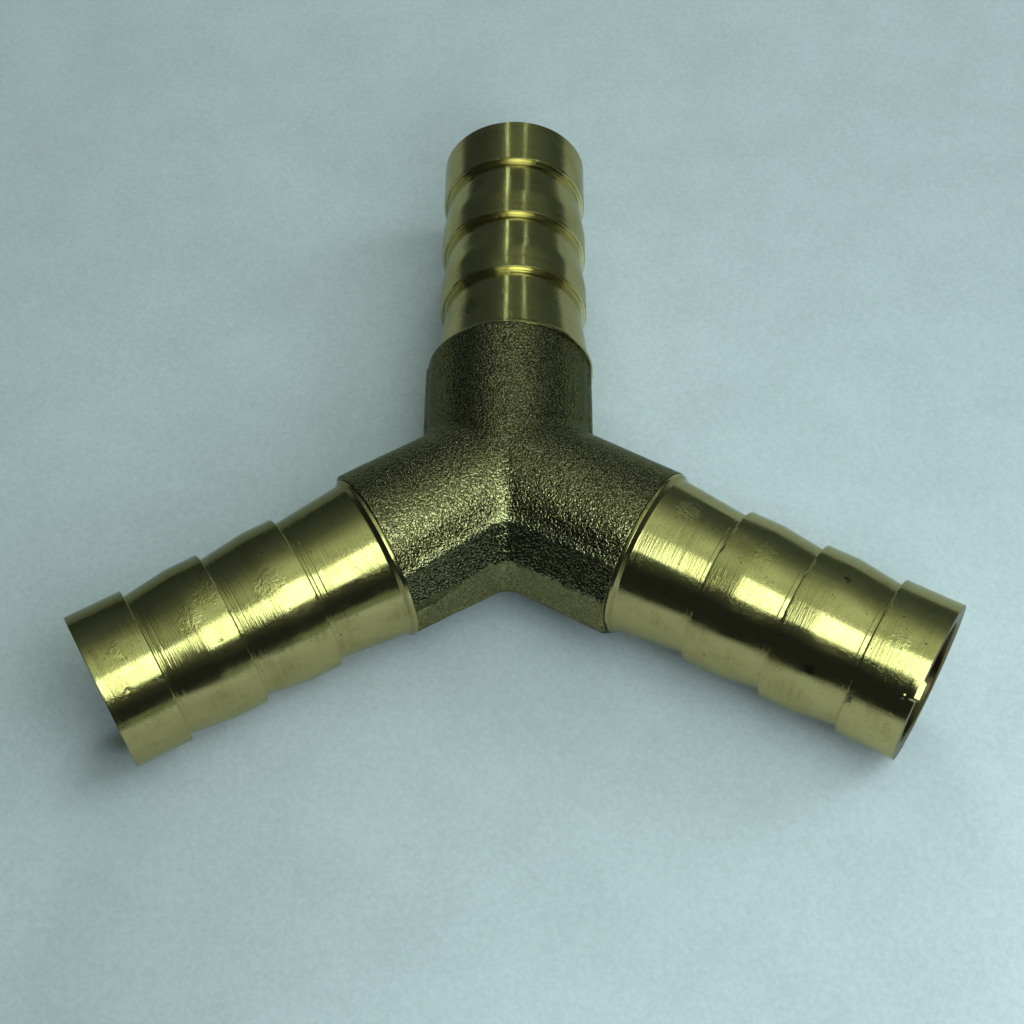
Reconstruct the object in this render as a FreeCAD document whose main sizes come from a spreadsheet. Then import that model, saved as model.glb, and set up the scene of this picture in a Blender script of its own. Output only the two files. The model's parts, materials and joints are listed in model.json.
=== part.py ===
import FreeCAD, Part
import math
import os
import Sketcher

# A brass wye connector for hose: a forged hub with three arms at 120 degrees, and a turned hose
# tail pressed into the socket at the end of each arm. Millimetres. The origin is the point where
# the three turned axes meet, +Y runs out along the rear tail and +Z is square to the plane of
# the three axes.

ARM_ANGLES = {"rear": 90.0, "left": 210.0, "right": 330.0}

# Driving dimensions: alias, value in millimetres, meaning. "Reach" is a distance from the origin
# along an arm's axis.
DIMENSIONS = [
    ("BoreDiameter", 10.4, "through bore of every arm and tail"),
    ("BodyDiameter", 14.25, "forged arm, outside"),
    ("BodyReach", 12.65, "faced end of a forged arm"),
    ("ForgingShiftX", -0.33, "the forging's centre beside the turned axes' meeting point"),
    ("ForgingShiftY", 0.2, "the forging's centre behind the turned axes' meeting point"),
    ("RearCrotchRadius", 1.8, "fillet between the rear arm and each front arm"),
    ("FrontCrotchRadius", 3.0, "fillet between the two front arms"),
    ("SocketDiameter", 12.0, "socket in a forged arm, and the tail's register that fills it"),
    ("SocketDepth", 6.0, "depth of the socket from the faced end"),
    ("CollarDiameter", 14.1, "shoulder of the tail against the faced end"),
    ("CollarLength", 0.3, "straight part of the shoulder"),
    ("CollarBevel", 0.35, "bevel from the shoulder down to the neck, along the axis"),
    ("NeckDiameter", 13.46, "neck where it leaves the shoulder"),
    ("RootDiameter", 12.15, "smallest diameter, at the foot of each barb"),
    ("BarbDiameter", 13.2, "crest of each barb"),
    ("BarbReach", 19.4, "steep face of the barb nearest the hub"),
    ("BarbPitch", 6.6, "from one barb's steep face to the next"),
    ("CrestLength", 2.6, "cylindrical crest of the two inner barbs"),
    ("TipReach", 37.4, "open end of a tail"),
    ("EdgeBreak", 0.15, "broken edge on each barb's rim and at the open end"),
]

BARB_COUNT = 3

doc = FreeCAD.newDocument("WyeConnector")


def make_sheet():
    """The spreadsheet that drives every size."""
    sheet = doc.addObject("Spreadsheet::Sheet", "Dimensions")
    for row, (alias, value, meaning) in enumerate(DIMENSIONS, start=1):
        sheet.set(f"A{row}", alias)
        sheet.set(f"B{row}", str(value))
        sheet.set(f"C{row}", meaning)
        sheet.setAlias(f"B{row}", alias)
    doc.recompute()
    return sheet


def size(alias):
    """The expression that reads one dimension."""
    return f"Dimensions.{alias}"


def along_arm(angle):
    """Rotation that carries +Z onto the direction of an arm in the XY plane."""
    direction = FreeCAD.Vector(math.cos(math.radians(angle)), math.sin(math.radians(angle)), 0)
    return FreeCAD.Rotation(FreeCAD.Vector(0, 0, 1), direction)


def arm_cylinder(name, angle, diameter, start, end, centre=("0", "0")):
    """A cylinder on an arm's direction, from one reach to another. All sizes are expressions."""
    cosine = f"cos({angle} deg)"
    sine = f"sin({angle} deg)"
    cylinder = doc.addObject("Part::Cylinder", name)
    cylinder.Placement = FreeCAD.Placement(FreeCAD.Vector(), along_arm(angle))
    cylinder.setExpression("Radius", f"({diameter}) / 2")
    cylinder.setExpression("Height", f"({end}) - ({start})")
    cylinder.setExpression("Placement.Base.x", f"({centre[0]}) + ({start}) * {cosine}")
    cylinder.setExpression("Placement.Base.y", f"({centre[1]}) + ({start}) * {sine}")
    return cylinder


def forged_arms():
    """Three solid arms about the forging's own centre, cut square to the turned axes."""
    shift = (size("ForgingShiftX"), size("ForgingShiftY"))
    arms = []
    for arm, angle in ARM_ANGLES.items():
        along = f"({shift[0]} * cos({angle} deg) + {shift[1]} * sin({angle} deg))"
        faced_end = f"{size('BodyReach')} - {along}"
        arms.append(arm_cylinder(f"forged_arm_{arm}", angle, size("BodyDiameter"), "0", faced_end, shift))
    return arms


def crotch_edges(shape, sheet):
    """The creases between arms, each with its fillet radius: (edge number, radius, radius)."""
    centre = FreeCAD.Vector(sheet.ForgingShiftX, sheet.ForgingShiftY, 0)
    picked = []
    for number, edge in enumerate(shape.Edges, start=1):
        if isinstance(edge.Curve, (Part.Line, Part.Circle)):
            continue
        middle = edge.valueAt((edge.FirstParameter + edge.LastParameter) / 2) - centre
        is_front = abs(middle.x) < abs(middle.y) and middle.y < 0
        radius = sheet.FrontCrotchRadius if is_front else sheet.RearCrotchRadius
        picked.append((number, radius, radius))
    return picked


def make_wye_body(sheet):
    """The forged hub: three filleted arms, a socket in each end and bores that meet inside."""
    blank = doc.addObject("Part::MultiFuse", "forged_blank")
    blank.Shapes = forged_arms()
    blank.Refine = True
    doc.recompute()

    filleted = doc.addObject("Part::Fillet", "forging")
    filleted.Base = blank
    filleted.Edges = crotch_edges(blank.Shape, sheet)
    doc.recompute()

    socket_floor = f"{size('BodyReach')} - {size('SocketDepth')}"
    cutters = []
    for arm, angle in ARM_ANGLES.items():
        bore = arm_cylinder(f"bore_{arm}", angle, size("BoreDiameter"), "0", size("BodyReach"))
        socket = arm_cylinder(
            f"socket_{arm}", angle, size("SocketDiameter"), socket_floor, size("BodyReach")
        )
        cutters += [bore, socket]
    machining = doc.addObject("Part::MultiFuse", "bores_and_sockets")
    machining.Shapes = cutters

    body = doc.addObject("Part::Cut", "machined_hub")
    body.Base = filleted
    body.Tool = machining
    body.Label = "wye_body"
    return body


def tail_outline():
    """Corners of half the tail's section as (reach, radius) expressions, from the inner end."""
    bore = f"{size('BoreDiameter')} / 2"
    register = f"{size('SocketDiameter')} / 2"
    collar = f"{size('CollarDiameter')} / 2"
    root = f"{size('RootDiameter')} / 2"
    crest = f"{size('BarbDiameter')} / 2"
    edge = size("EdgeBreak")
    face = size("BodyReach")
    tip = size("TipReach")
    collar_end = f"{face} + {size('CollarLength')}"
    inner_end = f"{face} - {size('SocketDepth')}"
    corners = [
        (inner_end, bore),
        (inner_end, register),
        (face, register),
        (face, collar),
        (collar_end, collar),
        (f"{collar_end} + {size('CollarBevel')}", f"{size('NeckDiameter')} / 2"),
    ]
    for barb in range(BARB_COUNT):
        step = f"{size('BarbReach')} + {barb} * {size('BarbPitch')}"
        corners.append((step, root))
        corners.append((step, f"{crest} - {edge}"))
        corners.append((f"{step} + {edge}", crest))
        if barb < BARB_COUNT - 1:
            corners.append((f"{step} + {size('CrestLength')}", crest))
    corners += [
        (f"{tip} - {edge}", crest),
        (tip, f"{crest} - {edge}"),
        (tip, f"{bore} + {edge}"),
        (f"{tip} - {edge}", bore),
    ]
    return corners


def origin_plane(body, role):
    """One of a body's own origin planes."""
    return next(feature for feature in body.Origin.OriginFeatures if feature.Role == role)


def draw_outline(body, name, corners):
    """A fully constrained closed outline whose every corner is placed by two expressions."""
    sketch = body.newObject("Sketcher::SketchObject", name)
    sketch.AttachmentSupport = (origin_plane(body, "XY_Plane"), [""])
    sketch.MapMode = "FlatFace"
    points = [
        FreeCAD.Vector(float(sketch.evalExpression(across)), float(sketch.evalExpression(up)), 0)
        for across, up in corners
    ]
    count = len(points)
    for index in range(count):
        sketch.addGeometry(Part.LineSegment(points[index], points[(index + 1) % count]))
    for index in range(count):
        sketch.addConstraint(Sketcher.Constraint("Coincident", index, 2, (index + 1) % count, 1))
    for index, (across, up) in enumerate(corners):
        for kind, value, expression in (
            ("DistanceX", points[index].x, across),
            ("DistanceY", points[index].y, up),
        ):
            number = sketch.addConstraint(Sketcher.Constraint(kind, -1, 1, index, 1, value))
            sketch.setExpression(f"Constraints[{number}]", expression)
    return sketch


def make_hose_tail(arm, angle):
    """A turned hose tail: register, collar, neck and three barbs, bored through."""
    body = doc.addObject("PartDesign::Body", f"tail_{arm}")
    body.Label = f"hose_tail_{arm}"
    section = draw_outline(body, f"section_{arm}", tail_outline())
    turned = body.newObject("PartDesign::Revolution", f"turned_{arm}")
    turned.Profile = section
    turned.ReferenceAxis = (section, ["H_Axis"])
    turned.Angle = 360
    section.Visibility = False
    body.Placement = FreeCAD.Placement(
        FreeCAD.Vector(), FreeCAD.Rotation(FreeCAD.Vector(0, 0, 1), angle)
    )
    return body


def check_and_write(pieces):
    """Stop on any failed feature or bad solid, then write one file for each piece."""
    doc.recompute()
    for item in doc.Objects:
        if "Invalid" in item.State or "Error" in item.State:
            raise RuntimeError(f"{item.Label} failed: {item.State}")
    for piece in pieces:
        shape = piece.Shape
        if shape.isNull() or not shape.isValid() or len(shape.Solids) != 1:
            raise RuntimeError(f"{piece.Label} is not one valid solid")
    os.makedirs("parts", exist_ok=True)
    for piece in pieces:
        piece.Shape.exportStep(os.path.join("parts", f"{piece.Label}.step"))
        print(f"{piece.Label}: {piece.Shape.Volume:.1f} mm3")


def main():
    sheet = make_sheet()
    pieces = [make_wye_body(sheet)]
    for arm, angle in ARM_ANGLES.items():
        pieces.append(make_hose_tail(arm, angle))
    check_and_write(pieces)


main()
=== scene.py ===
"""A brass wye hose connector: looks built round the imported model.

Lengths in this script are in millimetres; a mesh is scaled to metres when it is made.
"""

import json
import math

import bmesh
import bpy
import numpy as np
from mathutils import Matrix, Vector


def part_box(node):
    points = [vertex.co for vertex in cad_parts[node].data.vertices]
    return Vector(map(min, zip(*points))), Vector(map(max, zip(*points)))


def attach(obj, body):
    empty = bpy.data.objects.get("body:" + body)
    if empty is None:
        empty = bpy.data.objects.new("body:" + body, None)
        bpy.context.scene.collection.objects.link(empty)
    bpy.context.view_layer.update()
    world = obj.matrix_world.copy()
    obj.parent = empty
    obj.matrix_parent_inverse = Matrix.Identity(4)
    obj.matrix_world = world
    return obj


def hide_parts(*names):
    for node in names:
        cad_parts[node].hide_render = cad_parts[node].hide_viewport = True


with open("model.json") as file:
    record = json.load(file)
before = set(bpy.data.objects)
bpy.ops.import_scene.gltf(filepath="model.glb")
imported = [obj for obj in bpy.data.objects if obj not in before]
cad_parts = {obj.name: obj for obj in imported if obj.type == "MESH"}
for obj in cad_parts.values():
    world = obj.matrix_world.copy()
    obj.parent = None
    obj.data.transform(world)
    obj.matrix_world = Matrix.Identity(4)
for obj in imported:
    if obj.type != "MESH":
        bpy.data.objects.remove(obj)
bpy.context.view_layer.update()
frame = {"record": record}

MM = 0.001
MOUNTS = {mount["name"]: mount for mount in frame["record"]["mounts"]}
ARM_ANGLES = {"rear": 90.0, "left": 210.0, "right": 330.0}
UP = np.array([0.0, 0.0, 1.0])

# Sizes read from the frame.
REAR_LOW, REAR_HIGH = (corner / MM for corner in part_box("hose_tail_rear"))
HUB_LOW, HUB_HIGH = (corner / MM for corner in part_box("wye_body"))
TAIL_START = REAR_LOW.y
TAIL_TIP = REAR_HIGH.y
FACED_END = HUB_HIGH.y
COLLAR_RADIUS = REAR_HIGH.x
HUB_RADIUS = HUB_HIGH.z
BORE_RADIUS = MOUNTS["rear_bore"]["dims"]["r_mm"]
CREST_RADIUS = MOUNTS["rear_hose_end"]["dims"]["r_mm"]
FLOOR_Z = HUB_LOW.z

# The turned tails. A reach is a distance from the origin along the arm.
SOCKET_RADIUS = 6.0
NECK_RADIUS = 6.73
ROOT_RADIUS = 6.075
COLLAR_LENGTH = 0.3
COLLAR_BEVEL = 0.35
BARB_REACH = 19.4
BARB_PITCH = 6.6
BARB_COUNT = 3
CREST_LENGTH = 2.6
TAIL_SEGMENTS = 270
TAIL_STEP = 0.115
BORE_STEP = 0.6

# Tool grooves round each arm, as distances from each barb's step.
GROOVES = {"rear": (), "left": (-0.8, -0.3), "right": (-0.45,)}
GROOVE_HALF_WIDTH = 0.06

# Dents on the tails: reach, angle round the arm in degrees (0 on top, positive to the left
# when looking outward), half length, half width, depth, and the length's turn from the arm.
DENTS = {
    "rear": [
        (25.95, 11.0, 0.08, 0.30, 0.03, 0.0),
        (25.92, 5.0, 0.06, 0.22, 0.02, 0.0),
        (19.35, 30.0, 0.07, 0.40, 0.03, 0.0),
    ],
    "left": [
        (35.57, 39.0, 0.42, 0.11, 0.035, 20.0),
        (22.33, 14.0, 0.50, 0.05, 0.010, 30.0),
        (22.90, 17.0, 0.40, 0.05, 0.010, 50.0),
        (27.60, 8.0, 0.60, 0.10, 0.010, 75.0),
        (28.89, 12.9, 0.50, 0.08, 0.012, 60.0),
        (15.42, 17.6, 0.14, 0.05, 0.012, 0.0),
        (15.90, 20.0, 0.12, 0.05, 0.012, 40.0),
    ],
    "right": [
        (36.5, -45.5, 0.25, 0.25, -0.10, 0.0),
        (36.14, -61.3, 0.28, 0.06, 0.025, 25.0),
        (35.67, -13.4, 0.60, 0.05, 0.012, 35.0),
        (29.34, -55.1, 0.42, 0.06, 0.04, 60.0),
        (29.60, -57.5, 0.35, 0.06, 0.04, 100.0),
        (33.06, -51.0, 0.15, 0.40, 0.05, 0.0),
        (14.05, 16.3, 0.25, 0.05, 0.015, 20.0),
        (28.04, -22.4, 0.09, 0.14, 0.02, 0.0),
    ],
}

# Nicks along the barbs' edges: how many, and the ranges that their sizes are drawn from.
NICKS_PER_EDGE = 26
NICK_REACH = (0.02, 0.10)
NICK_HALF_WIDTH = (0.12, 0.45)
NICK_HALF_LENGTH = (0.06, 0.13)
NICK_DEPTH = (0.01, 0.04)

# The knocked lip on the right rim: its upper and lower edges and where its face looks, in
# degrees round the arm, and the reach where it starts.
BURR_ANGLES = (-32.0, -45.0, -26.0)
BURR_START = 36.8
BURR_REACH = 0.3

# Dirt and tarnish spots on the tails: reach, angle, radius.
SPOTS = {
    "rear": [(30.5, 30.0, 1.2), (24.0, 38.0, 1.0), (16.0, 34.0, 1.3)],
    "left": [(27.5, 36.0, 0.25), (31.5, 60.0, 0.15)],
    "right": [(29.4, -56.0, 0.55), (32.95, -64.0, 0.45), (32.1, 9.5, 0.35), (29.0, 14.0, 0.4)],
}

# How strong the dirt and the worn patches are on each tail.
DIRT_SHARE = {"rear": 0.45, "left": 0.8, "right": 0.8}
WEAR = {"rear": 0.12, "left": 0.35, "right": 0.30}

# Where painted shade begins on each tail, as a place across the arm (positive to the left
# when looking outward). It darkens what lies to the right of that, the left tail's back, so
# -20 means no painted shade.
SHADE_START = {"rear": -20.0, "left": -1.5, "right": -20.0}
SHADE_EDGE = 1.6

# Scuffed patches on the tails: reach, angle, radius.
SCUFFS = {
    "rear": [(19.6, 8.0, 0.8)],
    "left": [(27.1, 3.0, 1.1), (28.9, 12.0, 1.0), (22.3, 14.0, 1.1), (35.0, 10.0, 0.7)],
    "right": [(15.6, 14.0, 0.9), (22.6, 6.0, 0.9), (34.6, -14.0, 0.7)],
}

# The forged hub.
FORGING_SHIFT = np.array([-0.33, 0.2, 0.0])
REAR_CROTCH_RADIUS = 1.8
FRONT_CROTCH_RADIUS = 3.0
LAND_HALF_HEIGHT = 1.3
LAND_PROUD = 0.12
LAND_EDGE = 0.4
# The land narrows along the left arm from this reach on, by this much a millimetre.
LAND_NARROWS = 6.0
LAND_TAPER = 0.25
# The flattened strip between the land and a ridge on the side of the front crotch.
RIDGE_HEIGHT = 4.9
STRIP_LOW = 2.3
STRIP_PROFILE = ((1.0, 7.245), (STRIP_LOW, 7.20), (RIDGE_HEIGHT, 5.36), (6.0, 3.84))
# The strip's form at the left arm's end, where the ridge is lower.
LEFT_RIDGE_HEIGHT = 4.3
LEFT_STRIP_PROFILE = ((1.0, 7.245), (1.9, 7.21), (LEFT_RIDGE_HEIGHT, 5.95), (5.7, 4.275))
LEFT_CHANGE = (3.0, 12.0)
HUB_SEGMENTS = 296
HUB_STEP = 0.15

# Relief in the meshes: height, grain and seed. The waves are also on the trimmed land, where
# LAND_SMOOTHS is the share of the blasted grain that is gone.
TOOL_RINGS = ((0.0012, 0.35, 20), (0.0015, 0.9, 30))
BLASTED_GRAIN = ((0.012, 0.33, 1), (0.008, 0.6, 2))
FORGED_WAVES = (0.03, 3.0, 3)
LAND_SMOOTHS = 0.75


# ---------------------------------------------------------------- numbers
def lattice(corners, seed):
    """Repeatable numbers from -1 to 1 at whole-number points."""
    mixed = np.sin(corners @ np.array([127.1, 311.7, 74.7]) + seed * 19.19) * 43758.5453
    return 2.0 * (mixed - np.floor(mixed)) - 1.0


def noise(points, grain, seed):
    """Smooth noise from -1 to 1 whose lumps are one grain across."""
    scaled = points / grain
    base = np.floor(scaled)
    part = scaled - base
    ease = part * part * (3.0 - 2.0 * part)
    total = np.zeros(len(points))
    for dx in (0, 1):
        for dy in (0, 1):
            for dz in (0, 1):
                step = np.array([dx, dy, dz])
                weight = np.prod(np.where(step == 1, ease, 1.0 - ease), axis=1)
                total += weight * lattice(base + step, seed)
    return total


def arm_axes(arm):
    """Unit vectors along an arm and across it, to the left when looking outward."""
    angle = math.radians(ARM_ANGLES[arm])
    along = np.array([math.cos(angle), math.sin(angle), 0.0])
    across = np.array([-math.sin(angle), math.cos(angle), 0.0])
    return along, across


# ---------------------------------------------------------------- meshes
def ring_grid_faces(rows, segments, start, closed):
    """Quads between successive rings of points, and from the last ring to the first if closed."""
    faces = []
    last = rows if closed else rows - 1
    for row in range(last):
        here = start + row * segments
        there = start + (row + 1) % rows * segments
        for index in range(segments):
            after = (index + 1) % segments
            faces.append((here + index, here + after, there + after, there + index))
    return faces


def make_object(name, points, faces, weld=0.0):
    """A smooth-shaded mesh object from points in millimetres."""
    mesh = bpy.data.meshes.new(name)
    mesh.from_pydata([tuple(point * MM) for point in points], [], faces)
    work = bmesh.new()
    work.from_mesh(mesh)
    if weld:
        bmesh.ops.remove_doubles(work, verts=work.verts, dist=weld * MM)
    bmesh.ops.recalc_face_normals(work, faces=work.faces)
    work.to_mesh(mesh)
    work.free()
    mesh.polygons.foreach_set("use_smooth", [True] * len(mesh.polygons))
    made = bpy.data.objects.new(name, mesh)
    bpy.context.scene.collection.objects.link(made)
    return made


def round_corners(corners):
    """A closed outline with each corner (x, r, radius) replaced by a small arc."""
    outline = []
    count = len(corners)
    for index, (x, r, radius) in enumerate(corners):
        point = np.array([x, r])
        before = np.array(corners[index - 1][:2]) - point
        after = np.array(corners[(index + 1) % count][:2]) - point
        if radius == 0.0:
            outline.append(point)
            continue
        before_unit = before / np.linalg.norm(before)
        after_unit = after / np.linalg.norm(after)
        opening = math.acos(np.clip(before_unit @ after_unit, -1.0, 1.0))
        setback = radius / math.tan(opening / 2.0)
        setback = min(setback, 0.48 * np.linalg.norm(before), 0.48 * np.linalg.norm(after))
        for share in np.linspace(0.0, 1.0, 6):
            entry = point + before_unit * setback
            leave = point + after_unit * setback
            bend = (1 - share) ** 2 * entry + 2 * share * (1 - share) * point + share**2 * leave
            outline.append(bend)
    return outline


def divide(outline, step_at):
    """The closed outline with more points, no further apart than step_at(x, r) allows."""
    points = []
    for index, point in enumerate(outline):
        follow = outline[(index + 1) % len(outline)]
        middle = (point + follow) / 2.0
        pieces = max(1, math.ceil(np.linalg.norm(follow - point) / step_at(*middle)))
        for piece in range(pieces):
            points.append(point + (follow - point) * piece / pieces)
    return np.array(points)


# ---------------------------------------------------------------- the turned tails
def tail_outline():
    """Half the section of a tail, x along the arm, from the inner end round to the bore."""
    collar_end = FACED_END + COLLAR_LENGTH
    corners = [
        (TAIL_START, BORE_RADIUS, 0.05),
        (TAIL_START, SOCKET_RADIUS, 0.05),
        (FACED_END, SOCKET_RADIUS, 0.0),
        (FACED_END, COLLAR_RADIUS, 0.06),
        (collar_end, COLLAR_RADIUS, 0.08),
        (collar_end + COLLAR_BEVEL, NECK_RADIUS, 0.2),
    ]
    for barb in range(BARB_COUNT):
        step = BARB_REACH + barb * BARB_PITCH
        corners.append((step, ROOT_RADIUS, 0.08))
        corners.append((step, CREST_RADIUS, 0.11))
        if barb < BARB_COUNT - 1:
            corners.append((step + CREST_LENGTH, CREST_RADIUS, 6.0))
    corners += [
        (TAIL_TIP, CREST_RADIUS, 0.06),
        (TAIL_TIP, BORE_RADIUS, 0.30),
    ]
    return divide(
        round_corners(corners),
        lambda x, r: TAIL_STEP if r > SOCKET_RADIUS + 0.02 and x > FACED_END else BORE_STEP,
    )


def ring_height(arm, reach):
    """The faint rings that turning left in the skin."""
    row = np.stack([reach, np.zeros(len(reach)), np.zeros(len(reach))], axis=1)
    seed = list(ARM_ANGLES).index(arm)
    return sum(height * noise(row, grain, first + seed) for height, grain, first in TOOL_RINGS)


def edge_nicks(arm):
    """Small nicks along the barbs' sharp edges, in the same form as the dents."""
    chance = np.random.default_rng(7 + list(ARM_ANGLES).index(arm))
    nicks = []
    for barb in range(BARB_COUNT):
        for _ in range(NICKS_PER_EDGE):
            reach = BARB_REACH + barb * BARB_PITCH + chance.uniform(*NICK_REACH)
            angle = chance.uniform(-180.0, 180.0)
            half_width = chance.uniform(*NICK_HALF_WIDTH)
            half_length = chance.uniform(*NICK_HALF_LENGTH)
            depth = chance.uniform(*NICK_DEPTH)
            nicks.append((reach, angle, half_length, half_width, depth, 0.0))
    return nicks


def burr_shape(reach, angle):
    """Where a knock bent the rim into a small flat lip (1 or 0), and how far it stands out."""
    degrees = np.degrees((angle + math.pi) % (2.0 * math.pi) - math.pi)
    start, end, turned = BURR_ANGLES
    flat_distance = CREST_RADIUS * math.cos(math.radians(start - turned))
    flat = flat_distance / np.cos(np.radians(np.clip(degrees, end, start) - turned)) - CREST_RADIUS
    share = (degrees < start) & (degrees > end) & (reach > BURR_START)
    return share, np.where(share, flat, 0.0)


def dent_height(arm, reach, angle, radius):
    """The dents' hollows, each with a slight lip."""
    height = np.zeros(len(reach))
    for at, degrees, half_length, half_width, depth, turned in DENTS[arm] + edge_nicks(arm):
        round_arm = (angle - math.radians(degrees) + math.pi) % (2.0 * math.pi) - math.pi
        arc = round_arm * radius
        heading = math.radians(turned)
        length = (reach - at) * math.cos(heading) + arc * math.sin(heading)
        width = arc * math.cos(heading) - (reach - at) * math.sin(heading)
        away = np.sqrt((length / half_length) ** 2 + (width / half_width) ** 2)
        height -= depth * np.maximum(0.0, 1.0 - away**2) ** 1.5
        height += 0.25 * depth * np.exp(-(((away - 1.15) / 0.25) ** 2))
    return height


def make_tail(arm):
    """One hose tail, lathed about its own X axis and then turned to its arm."""
    outline = tail_outline()
    turn = np.arange(TAIL_SEGMENTS) * 2.0 * math.pi / TAIL_SEGMENTS
    reach = np.repeat(outline[:, 0], TAIL_SEGMENTS)
    radius = np.repeat(outline[:, 1], TAIL_SEGMENTS)
    angle = np.tile(turn, len(outline))
    outer = (radius > SOCKET_RADIUS + 0.01) & (reach > FACED_END)
    height = ring_height(arm, reach) + dent_height(arm, reach, angle, radius)
    if arm == "right":
        bent, lip = burr_shape(reach, angle)
        height += lip
        reach = reach + np.where(outer & bent, BURR_REACH, 0.0)
    radius = radius + np.where(outer, height, 0.0)
    points = np.stack([reach, radius * np.sin(angle), radius * np.cos(angle)], axis=1)
    faces = ring_grid_faces(len(outline), TAIL_SEGMENTS, 0, True)
    tail = make_object(f"turned_tail_{arm}", points, faces)
    tail.rotation_euler = (0.0, 0.0, math.radians(ARM_ANGLES[arm]))
    return tail


# ---------------------------------------------------------------- the forged hub
def fillet_distance(first, second, first_normal, second_normal, radius):
    """Distance from two skins joined by a rolling-ball fillet."""
    lean = np.sum(first_normal * second_normal, axis=1)
    spread = np.maximum(1.0 - lean * lean, 1e-9)
    inner_first = radius - first
    inner_second = radius - second
    cross = lean * inner_first * inner_second
    reach = np.sqrt(np.maximum((inner_first**2 + inner_second**2 - 2.0 * cross) / spread, 0.0))
    rolls = (inner_first > 0) & (inner_second > 0) & (lean < 0.9999)
    rolls &= (inner_first > lean * inner_second) & (inner_second > lean * inner_first)
    return np.where(rolls, radius - reach, np.minimum(first, second))


def hub_distance(points):
    """Distance of points, measured from the forging's centre, from its skin."""
    distances = {}
    normals = {}
    for arm in ARM_ANGLES:
        along, _ = arm_axes(arm)
        reach = np.maximum(points @ along, 0.0)
        offset = points - reach[:, None] * along
        length = np.linalg.norm(offset, axis=1)
        distances[arm] = length - HUB_RADIUS
        normals[arm] = offset / length[:, None]
    pairs = [
        ("rear", "left", REAR_CROTCH_RADIUS),
        ("rear", "right", REAR_CROTCH_RADIUS),
        ("left", "right", FRONT_CROTCH_RADIUS),
    ]
    joined = [
        fillet_distance(distances[a], distances[b], normals[a], normals[b], radius)
        for a, b, radius in pairs
    ]
    return np.min(joined, axis=0)


def hub_slope(points):
    """Unit outward normals of the forging's skin."""
    reach = 0.01
    slope = np.stack(
        [
            hub_distance(points + reach * axis) - hub_distance(points - reach * axis)
            for axis in np.eye(3)
        ],
        axis=1,
    )
    return slope / np.linalg.norm(slope, axis=1)[:, None]


def front_share(sideways):
    """1 where the skin faces the front crotch, 0 elsewhere."""
    return np.clip((-sideways[:, 1] - 0.45) / 0.2, 0.0, 1.0)


def land_share(points, sideways):
    """1 on the upright land where the flash was trimmed from the parting line, 0 off it."""
    edge = LAND_HALF_HEIGHT + 0.10 * noise(points * np.array([1.0, 1.0, 0.0]), 1.1, 4)
    beyond = np.maximum(points @ arm_axes("left")[0] - LAND_NARROWS, 0.0) * (points[:, 2] > 0.0)
    edge += (STRIP_LOW - LAND_HALF_HEIGHT - LAND_TAPER * beyond) * front_share(sideways)
    return np.clip((edge - np.abs(points[:, 2])) / LAND_EDGE, 0.0, 1.0)


def strip_stand(points, sideways):
    """How far the flattened strip stands out sideways from the round arm."""
    height = np.abs(points[:, 2])
    share = np.clip(points @ arm_axes("left")[0] - LEFT_CHANGE[0], 0.0, None) / np.ptp(LEFT_CHANGE)
    share = np.minimum(share, 1.0)[:, None]
    knots = [
        np.array(usual) * (1.0 - share) + np.array(left) * share
        for usual, left in zip(STRIP_PROFILE, LEFT_STRIP_PROFILE)
    ]
    stand = np.zeros(len(points))
    arm_width = np.sqrt(np.maximum(HUB_RADIUS**2 - height**2, 0.0))
    for low, high in zip(knots, knots[1:]):
        part = (height - low[:, 0]) / (high[:, 0] - low[:, 0])
        width = low[:, 1] + part * (high[:, 1] - low[:, 1])
        stand = np.where((part >= 0.0) & (part < 1.0), width - arm_width, stand)
    return stand * front_share(sideways)


def forged_skin(points):
    """Moves points near the skin onto it and gives them the land and the blasted surface."""
    for _ in range(4):
        points = points - hub_distance(points)[:, None] * hub_slope(points)
    outward = hub_slope(points)
    sideways = outward * np.array([1.0, 1.0, 0.0])
    sideways /= np.maximum(np.linalg.norm(sideways, axis=1), 1e-6)[:, None]
    land = land_share(points, sideways)
    height = sum(tall * noise(points, grain, seed) for tall, grain, seed in BLASTED_GRAIN)
    tall, grain, seed = FORGED_WAVES
    height = height * (1.0 - LAND_SMOOTHS * land) + tall * noise(points, grain, seed)
    stand = land * (LAND_PROUD + points[:, 2] ** 2 / (2.0 * HUB_RADIUS))
    stand += strip_stand(points, sideways) * (1.0 - land)
    return points + outward * height[:, None] + sideways * stand[:, None]


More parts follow.
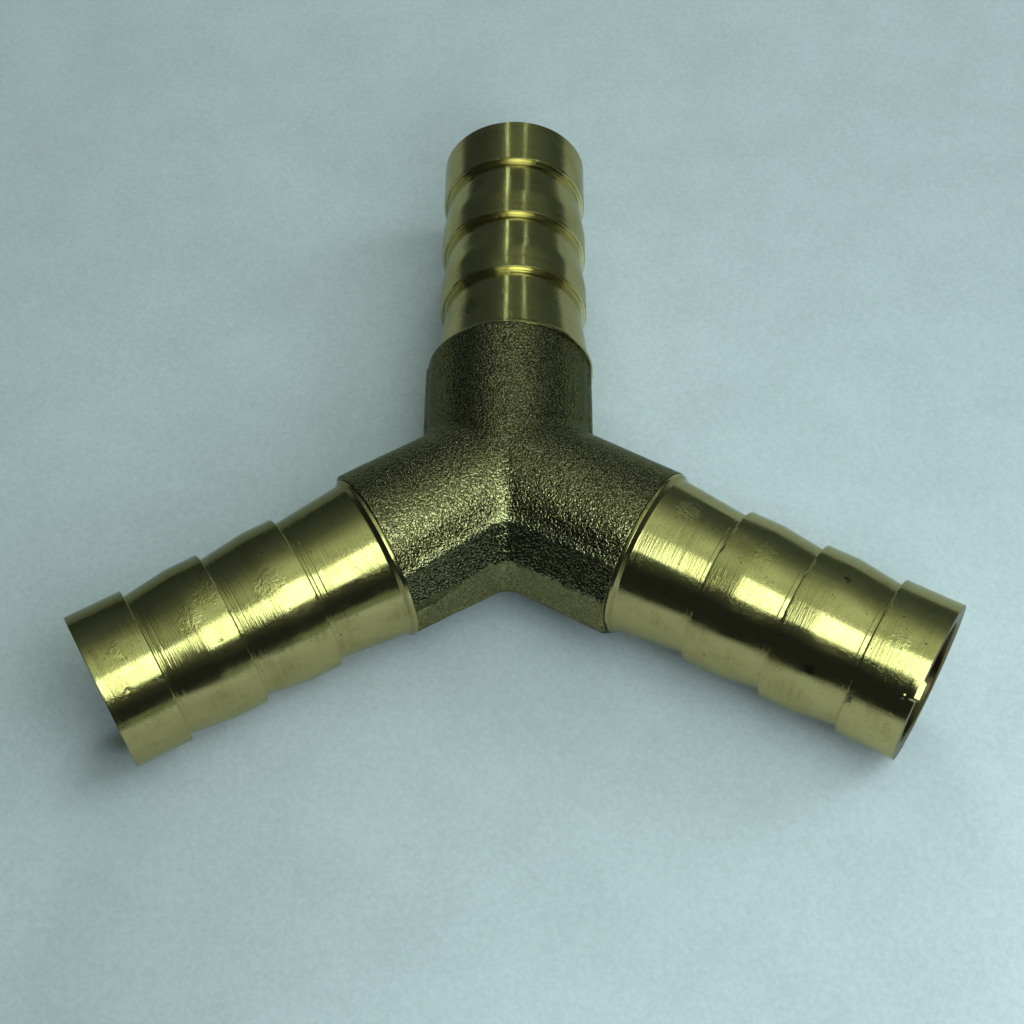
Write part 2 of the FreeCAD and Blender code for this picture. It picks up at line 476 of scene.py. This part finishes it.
def make_hub():
    """The hub as one closed mesh: three arms of rings that meet on the planes between arms."""
    turn = np.arange(HUB_SEGMENTS) * 2.0 * math.pi / HUB_SEGMENTS
    rows = math.ceil(FACED_END / HUB_STEP)
    points = []
    faces = []
    total = 0
    for arm in ARM_ANGLES:
        along, across = arm_axes(arm)
        spoke = np.cos(turn)[:, None] * UP + np.sin(turn)[:, None] * across
        mitre = np.abs(np.sin(turn)) / math.sqrt(3.0)
        end = FACED_END - FORGING_SHIFT @ along
        rings = []
        for row in range(rows + 1):
            share = row / rows
            reach = HUB_RADIUS * mitre * (1.0 - share) + end * share
            rings.append(reach[:, None] * along + HUB_RADIUS * spoke)
        skin = forged_skin(np.concatenate(rings)).reshape(rows + 1, HUB_SEGMENTS, 3)
        last = skin[-1]
        skin[-1] = last - ((last @ along) - end)[:, None] * along
        outer = list(skin + FORGING_SHIFT)
        inner = []
        for share in (0.5, 0.98):
            rim = FACED_END * along + SOCKET_RADIUS * spoke
            inner.append(outer[-1] * (1.0 - share) + rim * share)
        for reach in np.linspace(FACED_END, TAIL_START, 7):
            inner.append(reach * along + SOCKET_RADIUS * spoke)
        for share in np.linspace(0.0, 1.0, 8):
            reach = TAIL_START * (1.0 - share) + BORE_RADIUS * mitre * share
            inner.append(np.reshape(reach, (-1, 1)) * along + BORE_RADIUS * spoke)
        grid = outer + inner
        points += grid
        faces += ring_grid_faces(len(grid), HUB_SEGMENTS, total, False)
        total += len(grid) * HUB_SEGMENTS
    return make_object("forged_hub", np.concatenate(points), faces, weld=0.002)


# ---------------------------------------------------------------- materials
class Nodes:
    """A short way to add nodes to a tree and join them."""

    def __init__(self, tree):
        self.tree = tree

    def node(self, kind, inputs=None, **settings):
        """A new node; each input is a number, a tuple or another node's output."""
        made = self.tree.nodes.new(kind)
        for key, value in settings.items():
            setattr(made, key, value)
        for key, value in (inputs or {}).items():
            self.give(made.inputs[key], value)
        return made

    def give(self, socket, value):
        if isinstance(value, bpy.types.NodeSocket):
            self.tree.links.new(value, socket)
        else:
            socket.default_value = value

    def place(self, stretch=(1.0, 1.0, 1.0), shift=(0.0, 0.0, 0.0)):
        """The object's own coordinates in millimetres, stretched and shifted."""
        coordinates = self.node("ShaderNodeTexCoord")
        mapping = self.node(
            "ShaderNodeMapping",
            {
                "Vector": coordinates.outputs["Object"],
                "Scale": tuple(value / MM for value in stretch),
                "Location": shift,
            },
        )
        return mapping.outputs["Vector"]

    def noise(self, stretch, shift=(0.0, 0.0, 0.0), detail=2.0, roughness=0.5):
        """Noise with one lump per millimetre times stretch."""
        made = self.node(
            "ShaderNodeTexNoise",
            {
                "Vector": self.place(stretch, shift),
                "Scale": 1.0,
                "Detail": detail,
                "Roughness": roughness,
            },
        )
        return made.outputs["Fac"]

    def math(self, operation, first, second=0.0):
        return self.node("ShaderNodeMath", {0: first, 1: second}, operation=operation).outputs[0]

    def vector(self, operation, first, second):
        """The number that a vector operation such as DOT_PRODUCT or DISTANCE gives."""
        made = self.node("ShaderNodeVectorMath", {0: first, 1: second}, operation=operation)
        return made.outputs["Value"]

    def spread(self, value, low, high, new_low=0.0, new_high=1.0):
        """value from low..high to new_low..new_high, held at the ends."""
        made = self.node(
            "ShaderNodeMapRange",
            {
                "Value": value,
                "From Min": low,
                "From Max": high,
                "To Min": new_low,
                "To Max": new_high,
            },
        )
        return made.outputs[0]

    def blend(self, share, first, second, way="MIX"):
        """A colour between two, each a tuple or an output."""
        made = self.node("ShaderNodeMix", data_type="RGBA", blend_type=way)
        self.give(made.inputs[0], share)
        self.give(made.inputs[6], first)
        self.give(made.inputs[7], second)
        return made.outputs[2]

    def ramp(self, value, steps):
        """A colour that follows value through steps of (value, colour)."""
        made = self.node("ShaderNodeValToRGB", {"Fac": value})
        elements = made.color_ramp.elements
        while len(elements) < len(steps):
            elements.new(1.0)
        for element, (position, color) in zip(elements, steps):
            element.position = position
            element.color = (*color, 1.0)
        return made.outputs["Color"]


class Material(Nodes):
    """A material with one Principled shader."""

    def __init__(self, name):
        self.made = bpy.data.materials.new(name)
        self.made.use_nodes = True
        super().__init__(self.made.node_tree)
        self.shader = self.tree.nodes["Principled BSDF"]

    def bump(self, height, depth):
        """A normal from a height map that is depth millimetres deep."""
        inputs = {"Height": height, "Strength": 1.0, "Distance": depth * MM}
        return self.node("ShaderNodeBump", inputs).outputs["Normal"]

    def spots(self, centres):
        """1 inside ragged spots, each (x, y, z, radius) in millimetres, and 0 elsewhere."""
        ragged = self.noise((3.0, 3.0, 3.0), (5.0, 1.0, 0.0), detail=3.0, roughness=0.7)
        total = 0.0
        for x, y, z, radius in centres:
            away = self.vector("DISTANCE", self.place(), (x, y, z))
            ragged_edge = self.spread(ragged, 0.3, 0.7, -0.5 * radius, 0.8 * radius)
            reach = self.math("ADD", away, ragged_edge)
            share = self.spread(reach, 0.5 * radius, 1.1 * radius, 1.0, 0.0)
            total = self.math("MAXIMUM", share, total)
        return total

    def grooves(self, offsets):
        """1 in the fine grooves at each barb, 0 elsewhere."""
        reach = self.vector("DOT_PRODUCT", self.place(), (1.0, 0.0, 0.0))
        along = self.math("SUBTRACT", reach, BARB_REACH - BARB_PITCH)
        along = self.math("MODULO", along, BARB_PITCH)
        total = 0.0
        for offset in offsets:
            away = self.math("ABSOLUTE", self.math("SUBTRACT", along, offset % BARB_PITCH))
            total = self.math("MAXIMUM", self.spread(away, 0.0, GROOVE_HALF_WIDTH, 1.0, 0.0), total)
        return total

    def set(self, **values):
        """Sets or joins the shader's inputs, spaces in their names written as underscores."""
        for key, value in values.items():
            self.give(self.shader.inputs[key.replace("_", " ")], value)


BRASS = (0.50, 0.405, 0.18, 1.0)
TARNISHED_BRASS = (0.40, 0.31, 0.125, 1.0)
DIRT = (0.05, 0.045, 0.025, 1.0)
BLASTED_BRASS = (0.43, 0.341, 0.193, 1.0)
BLASTED_PIT = (0.08, 0.0735, 0.0374, 1.0)
STRIP_BRASS = (0.13, 0.116, 0.0605, 1.0)
STRIP_GLINT = (0.6, 0.504, 0.319, 1.0)
TRIMMED_BRASS = (0.34, 0.294, 0.138, 1.0)
# Painted highlight: a lighter colour along the ridge.
RIDGE_PAINTED_HIGHLIGHT = (0.6, 0.504, 0.308, 1.0)
TRIMMED_DULL = (0.12, 0.105, 0.055, 1.0)
# Painted shade: multiplied onto the hub where its skin faces sideways or down.
SIDE_PAINTED_SHADE = (0.38, 0.42, 0.33, 1.0)
GRAZING_TINT = (0.74, 0.78, 0.70, 1.0)
DULL_GRAZING_TINT = (0.52, 0.54, 0.46, 1.0)
# Painted shade: multiplied onto the back of the left tail.
BACK_PAINTED_SHADE = (0.44, 0.44, 0.36, 1.0)
PITTED_BRASS = (0.20, 0.17, 0.08, 1.0)
# Painted highlight: a light colour for the steep barb faces.
STEP_PAINTED_HIGHLIGHT = (0.85, 0.78, 0.46, 1.0)
# A darker colour for the rim face, and painted shade in the bore.
RIM_DARK_BORE_SHADE = (0.13, 0.090, 0.045, 1.0)
FLOOR_DARK = (0.555, 0.545, 0.575, 1.0)
FLOOR_LIGHT = (0.640, 0.625, 0.665, 1.0)

# Depths of the bump maps in millimetres.
TURNED_BUMP = 0.013
BLASTED_BUMP = 0.079
FLOOR_BUMP = 0.02
# The bumps' parts, against the tool rings of the tails or the grain of the hub.
SCUFF_RELIEF = 2.4
PIT_RELIEF = 0.25
FINE_RELIEF = 0.35
LAND_RELIEF = 0.45
PIT_SHADE = 0.35
RIM_ROUGHNESS = 0.2
CLOUD_SHARE = 0.35


def on_tail(marks):
    """Marks given as (reach, angle, radius) as (x, y, z, radius) on the tail's skin."""
    places = []
    for reach, degrees, radius in marks:
        angle = math.radians(degrees)
        across, upward = CREST_RADIUS * math.sin(angle), CREST_RADIUS * math.cos(angle)
        places.append((reach, across, upward, radius))
    return places


def turned_brass(arm):
    """Bright turned brass: fine tool rings round X, scuffed patches, stains, dirty specks, painted
    shade on the left tail's back and in the bore, a darker rim face and painted highlights on the
    steep barb faces.
    """
    seed = 10.0 * list(ARM_ANGLES).index(arm)
    material = Material(f"turned_brass_{arm}")
    rings = material.noise((6.0, 0.30, 0.30), (seed, 0.0, 0.0), detail=2.5, roughness=0.65)
    smear = material.noise((0.35, 0.5, 0.5), (seed, 7.0, 1.0), detail=4.0)
    streak = material.noise((2.5, 0.15, 0.15), (seed, 3.0, 2.0), detail=2.0)
    scuff = material.noise((10.0, 9.0, 9.0), (seed, 4.0, 9.0), detail=2.0, roughness=0.7)
    speck = material.noise((3.6, 3.6, 3.6), (seed, 1.0, 5.0), detail=1.0)
    pitting = material.noise((8.0, 8.0, 8.0), (seed, 6.0, 3.0), detail=2.0, roughness=0.6)
    worn = material.spread(smear, 0.35, 0.60, 0.25, 1.0)
    pits = material.math("MULTIPLY", material.spread(pitting, 0.56, 0.68), worn)
    streaks = material.spread(streak, 0.3, 0.6)
    tarnish = material.math("MULTIPLY", material.spread(smear, 0.42, 0.68), streaks)
    color = material.blend(tarnish, BRASS, TARNISHED_BRASS)
    specks = material.spread(speck, 0.72, 0.78)
    dirt = material.math("MAXIMUM", material.spots(on_tail(SPOTS[arm])), specks)
    color = material.blend(material.math("MULTIPLY", dirt, DIRT_SHARE[arm]), color, DIRT)
    # Painted shade: the back of the left tail is coloured darker.
    across = material.vector("DOT_PRODUCT", material.place(), (0.0, 1.0, 0.0))
    back_shade_share = material.spread(across, SHADE_START[arm] - SHADE_EDGE, SHADE_START[arm], 1.0, 0.0)
    color = material.blend(back_shade_share, color, BACK_PAINTED_SHADE, way="MULTIPLY")
    color = material.blend(material.math("MULTIPLY", pits, PIT_SHADE), color, PITTED_BRASS)
    cut_face = material.node("ShaderNodeTexCoord").outputs["Normal"]
    cut_face = material.vector("DOT_PRODUCT", cut_face, (-1.0, 0.0, 0.0))
    # Painted highlight: the steep barb faces that look towards the hub are coloured much lighter.
    color = material.blend(material.spread(cut_face, 0.85, 0.97), color, STEP_PAINTED_HIGHLIGHT)
    # The rim face is coloured darker, and the bore inside is darkened as painted shade.
    from_axis = material.vector("LENGTH", material.place((0.0, 1.0, 1.0)), (0.0, 0.0, 0.0))
    bore_shade = material.spread(from_axis, BORE_RADIUS + 0.02, BORE_RADIUS + 0.12, 1.0, 0.0)
    rim = material.math("MAXIMUM", material.spread(cut_face, -0.9, -0.6, 1.0, 0.0), bore_shade)
    color = material.blend(rim, color, RIM_DARK_BORE_SHADE)
    scuffed = material.math("MULTIPLY", material.spots(on_tail(SCUFFS[arm])), SCUFF_RELIEF)
    scuffed = material.math("ADD", scuffed, material.spread(smear, 0.52, 0.62, 0.0, WEAR[arm]))
    relief = material.math("ADD", rings, material.math("MULTIPLY", scuff, scuffed))
    relief = material.math("SUBTRACT", relief, material.math("MULTIPLY", pits, PIT_RELIEF))
    if GROOVES[arm]:
        relief = material.math("SUBTRACT", relief, material.grooves(GROOVES[arm]))
    dullness = material.spread(smear, 0.3, 0.7, 0.11, 0.19)
    round_arm = material.node("ShaderNodeTangent", direction_type="RADIAL", axis="X")
    material.set(
        Base_Color=color,
        Metallic=1.0,
        Roughness=material.math("ADD", dullness, material.math("MULTIPLY", rim, RIM_ROUGHNESS)),
        Anisotropic=0.5,
        Anisotropic_Rotation=0.25,
        Tangent=round_arm.outputs["Tangent"],
        Specular_Tint=GRAZING_TINT,
        Normal=material.bump(relief, TURNED_BUMP),
    )
    return material.made


def blasted_brass(name):
    """Forged and sand-blasted brass: glinting grains, a dull strip, a smoother trimmed land, a
    painted highlight along the ridge and painted shade where the skin faces sideways or down.
    """
    material = Material(name)
    grain = material.noise((4.6, 4.6, 4.6), detail=1.5, roughness=0.6)
    fine = material.noise((7.5, 7.5, 7.5), (3.0, 0.0, 8.0), detail=1.0)
    level = material.vector("DOT_PRODUCT", material.place(), (0.0, 0.0, 1.0))
    height = material.math("ABSOLUTE", level)
    edge = material.noise((1.1, 1.1, 0.2), (0.0, 4.0, 0.0), detail=3.0)
    border = material.math("ADD", height, material.spread(edge, 0.3, 0.7, -0.35, 0.35))
    normal = material.node("ShaderNodeNewGeometry").outputs["Normal"]
    facing = material.vector("DOT_PRODUCT", normal, (0.0, -1.0, 0.0))
    upward = material.vector("DOT_PRODUCT", normal, (0.0, 0.0, 1.0))
    front = material.spread(facing, 0.40, 0.55)
    left_reach = material.vector("DOT_PRODUCT", material.place(), tuple(arm_axes("left")[0]))
    ridge = material.spread(left_reach, *LEFT_CHANGE, RIDGE_HEIGHT, LEFT_RIDGE_HEIGHT)
    above_ridge = material.math("SUBTRACT", border, ridge)
    strip = material.math("MULTIPLY", material.spread(above_ridge, -0.1, 0.1, 1.0, 0.0), front)
    beyond = material.math("SUBTRACT", left_reach, LAND_NARROWS)
    taper = material.math("MULTIPLY", material.math("MAXIMUM", beyond, 0.0), LAND_TAPER)
    taper = material.math("MULTIPLY", taper, material.math("GREATER_THAN", level, 0.0))
    extra = material.math("SUBTRACT", STRIP_LOW - LAND_HALF_HEIGHT, taper)
    lower = material.math("SUBTRACT", border, material.math("MULTIPLY", front, extra))
    land = material.spread(lower, LAND_HALF_HEIGHT - 0.25, LAND_HALF_HEIGHT + 0.1, 1.0, 0.0)
    blasted = material.blend(material.spread(fine, 0.44, 0.60), BLASTED_PIT, BLASTED_BRASS)
    dull = material.blend(material.spread(fine, 0.46, 0.60), STRIP_BRASS, STRIP_GLINT)
    blasted = material.blend(strip, blasted, dull)
    # Painted highlight: a lighter band along the ridge on the sides of the front crotch.
    ridge_highlight_share = material.math("ABSOLUTE", material.math("SUBTRACT", above_ridge, 0.15))
    ridge_highlight_share = material.spread(ridge_highlight_share, 0.0, 0.45, 0.6, 0.0)
    ridge_highlight_share = material.math("MULTIPLY", ridge_highlight_share, front)
    blasted = material.blend(ridge_highlight_share, blasted, RIDGE_PAINTED_HIGHLIGHT)
    # Painted shade: the hub is coloured darker where its skin faces sideways or down.
    side_shade_share = material.spread(upward, 0.40, 0.95, 1.0, 0.0)
    blasted = material.blend(side_shade_share, blasted, SIDE_PAINTED_SHADE, way="MULTIPLY")
    trimmed = material.blend(material.spread(grain, 0.35, 0.65), TRIMMED_DULL, TRIMMED_BRASS)
    relief = material.math("ADD", grain, material.math("MULTIPLY", fine, FINE_RELIEF))
    smoothed = material.spread(land, 0.0, 1.0, 1.0, LAND_RELIEF)
    relief = material.math("MULTIPLY", relief, smoothed)
    material.set(
        Base_Color=material.blend(land, blasted, trimmed),
        Metallic=1.0,
        Roughness=0.18,
        Specular_Tint=DULL_GRAZING_TINT,
        Normal=material.bump(relief, BLASTED_BUMP),
    )
    return material.made


def floor_paint(name):
    """Pale matt board with a soft blue-grey mottle."""
    material = Material(name)
    cloud = material.noise((0.12, 0.12, 0.12), detail=3.0, roughness=0.6)
    mottle = material.noise((2.2, 2.2, 2.2), (9.0, 2.0, 0.0), detail=3.0, roughness=0.75)
    clouds = material.math("MULTIPLY", cloud, CLOUD_SHARE)
    both = material.math("ADD", clouds, material.math("MULTIPLY", mottle, 1.0 - CLOUD_SHARE))
    material.set(
        Base_Color=material.blend(material.spread(both, 0.38, 0.62), FLOOR_DARK, FLOOR_LIGHT),
        Roughness=0.6,
        Specular_IOR_Level=0.2,
        Normal=material.bump(mottle, FLOOR_BUMP),
    )
    return material.made


# ---------------------------------------------------------------- stage
OVERHEAD_TINT = (0.70, 0.94, 0.76)
SIDE_TINT = (0.725, 1.0, 1.025)
HORIZON_TINT = (0.66, 1.0, 0.70)

# The dim room above the object. Its brightest side leans from straight up by CEILING_LEAN, to
# a heading measured from the rear towards the right, in radians; the steps give a colour for
# each cosine of the angle from there.
CEILING_LEAN = math.radians(12.9)
CEILING_HEADING = math.radians(75.0)
CEILING_AXIS = (
    math.sin(CEILING_LEAN) * math.sin(CEILING_HEADING),
    math.sin(CEILING_LEAN) * math.cos(CEILING_HEADING),
    math.cos(CEILING_LEAN),
)
CEILING = (
    (0.45, (0.021, 0.029, 0.034)),
    (0.72, (0.078, 0.108, 0.093)),
    (0.80, (0.155, 0.210, 0.162)),
    (0.87, (0.251, 0.341, 0.255)),
    (0.93, (0.452, 0.620, 0.457)),
    (0.98, (0.651, 0.893, 0.663)),
)
REAR_WALL_SIDE = (0.30, 0.95, 0.0)
REAR_WALL = ((0.0, (0.0, 0.0, 0.0)), (0.9, (0.048, 0.072, 0.066)))

FLOOR_HALF = 900.0

# The soft box over the front, turned about the upright axis.
SOFTBOX_CENTRE = (25.0, -76.3, 130.7)
SOFTBOX_TURN = -40.2
SOFTBOX_HALF_LENGTH = 37.7
SOFTBOX_WIDTH = 92.8
SOFTBOX_RADIANCE = 4.2

# The other lights: name, low end and high end of the middle line, width, radiance, tint.
REFLECTED_LIGHTS = (
    ("front_horizon", (172.0, -246.0, -4.0), (172.0, -246.0, 36.0), 150.0, 0.30, HORIZON_TINT),
    ("far_strip_left", (-17.7, 220.0, 76.8), (-38.0, 220.0, 256.0), 3.8, 5.4, OVERHEAD_TINT),
    ("far_strip_right", (50.1, 220.0, 76.8), (69.2, 220.0, 256.0), 3.8, 2.6, OVERHEAD_TINT),
)
FLOOR_LIGHTS = (
    ("floor_key", (36.0, -80.0, 84.0), (36.0, -12.0, 84.0), 68.0, 3.0, SIDE_TINT),
    ("floor_front", (75.0, -130.0, 80.0), (75.0, -100.0, 110.0), 80.0, 7.4, SIDE_TINT),
    ("floor_fill", (9.0, 323.0, 90.0), (9.0, 323.0, 158.0), 160.0, 16.5, SIDE_TINT),
    ("floor_side", (250.0, 0.0, 150.0), (250.0, 120.0, 150.0), 120.0, 4.8, SIDE_TINT),
)

CAMERA_PLACE = (5.2, -81.7, 115.8)
CAMERA_TARGET = (-1.82, -6.89, 0.0)
CAMERA_ROLL = -5.386
CAMERA_LENS = 59.21
CAMERA_SHIFT = (0.0226, 0.048)


def add_floor():
    corners = [
        np.array([x * FLOOR_HALF, y * FLOOR_HALF, FLOOR_Z])
        for x, y in ((-1, -1), (1, -1), (1, 1), (-1, 1))
    ]
    floor = make_object("floor", corners, [(0, 1, 2, 3)])
    floor.data.materials.append(floor_paint("floor_paint"))


def add_light(name, low, high, width, radiance, tint, facing=(0.0, 0.0, 0.0)):
    """A rectangular soft light, its middle line from low to high, turned towards facing."""
    low, high, facing = Vector(low), Vector(high), Vector(facing)
    middle = (low + high) / 2.0
    length = (high - low).length
    upward = (high - low).normalized()
    toward = facing - middle
    toward = (toward - upward * toward.dot(upward)).normalized()
    data = bpy.data.lights.new(name, "AREA")
    data.shape = "RECTANGLE"
    data.size = width * MM
    data.size_y = length * MM
    data.energy = radiance * math.pi * data.size * data.size_y
    data.color = tint
    light = bpy.data.objects.new(name, data)
    turn = Matrix((upward.cross(-toward), upward, -toward)).transposed()
    light.matrix_world = Matrix.Translation(middle * MM) @ turn.to_4x4()
    light.visible_camera = False
    bpy.context.scene.collection.objects.link(light)
    return light


def add_lights():
    """Soft lights for the reflections in the brass, and others that only shade the floor."""
    spin = math.radians(SOFTBOX_TURN)
    centre = Vector(SOFTBOX_CENTRE)
    half = Vector((-math.sin(spin), math.cos(spin), 0.0)) * SOFTBOX_HALF_LENGTH
    below = (centre.x, centre.y, 0.0)
    softbox = add_light(
        "front_softbox",
        centre - half,
        centre + half,
        SOFTBOX_WIDTH,
        SOFTBOX_RADIANCE,
        OVERHEAD_TINT,
        below,
    )
    for light in [softbox] + [add_light(*values) for values in REFLECTED_LIGHTS]:
        light.visible_diffuse = False
    for values in FLOOR_LIGHTS:
        add_light(*values).visible_glossy = False


def add_world():
    world = bpy.data.worlds.new("studio")
    bpy.context.scene.world = world
    world.use_nodes = True
    nodes = Nodes(world.node_tree)
    direction = nodes.node("ShaderNodeTexCoord").outputs["Generated"]
    ceiling = nodes.ramp(nodes.vector("DOT_PRODUCT", direction, CEILING_AXIS), CEILING)
    wall = nodes.ramp(nodes.vector("DOT_PRODUCT", direction, REAR_WALL_SIDE), REAR_WALL)
    both = nodes.blend(1.0, ceiling, wall, way="ADD")
    world.node_tree.links.new(both, world.node_tree.nodes["Background"].inputs["Color"])
    bpy.context.scene.view_settings.view_transform = "Standard"


def add_camera():
    place = Vector(CAMERA_PLACE)
    target = Vector(CAMERA_TARGET)
    roll = math.radians(CAMERA_ROLL)
    forward = (target - place).normalized()
    right = forward.cross(Vector((0.0, 0.0, 1.0))).normalized()
    up = right.cross(forward)
    rolled_right = right * math.cos(roll) + up * math.sin(roll)
    rolled_up = up * math.cos(roll) - right * math.sin(roll)
    data = bpy.data.cameras.new("camera")
    data.lens = CAMERA_LENS
    data.sensor_width = 36.0
    data.shift_x, data.shift_y = CAMERA_SHIFT
    data.clip_start = 0.001
    camera = bpy.data.objects.new("camera", data)
    turn = Matrix((rolled_right, rolled_up, -forward)).transposed()
    camera.matrix_world = Matrix.Translation(place * MM) @ turn.to_4x4()
    bpy.context.scene.collection.objects.link(camera)
    bpy.context.scene.camera = camera


# ---------------------------------------------------------------- the object
def add_object():
    hub = make_hub()
    hub.data.materials.append(blasted_brass("blasted_brass"))
    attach(hub, "root")
    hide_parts("wye_body")
    for arm in ARM_ANGLES:
        tail = make_tail(arm)
        tail.data.materials.append(turned_brass(arm))
        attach(tail, "root")
        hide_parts(f"hose_tail_{arm}")


add_object()
add_floor()
add_lights()
add_world()
add_camera()
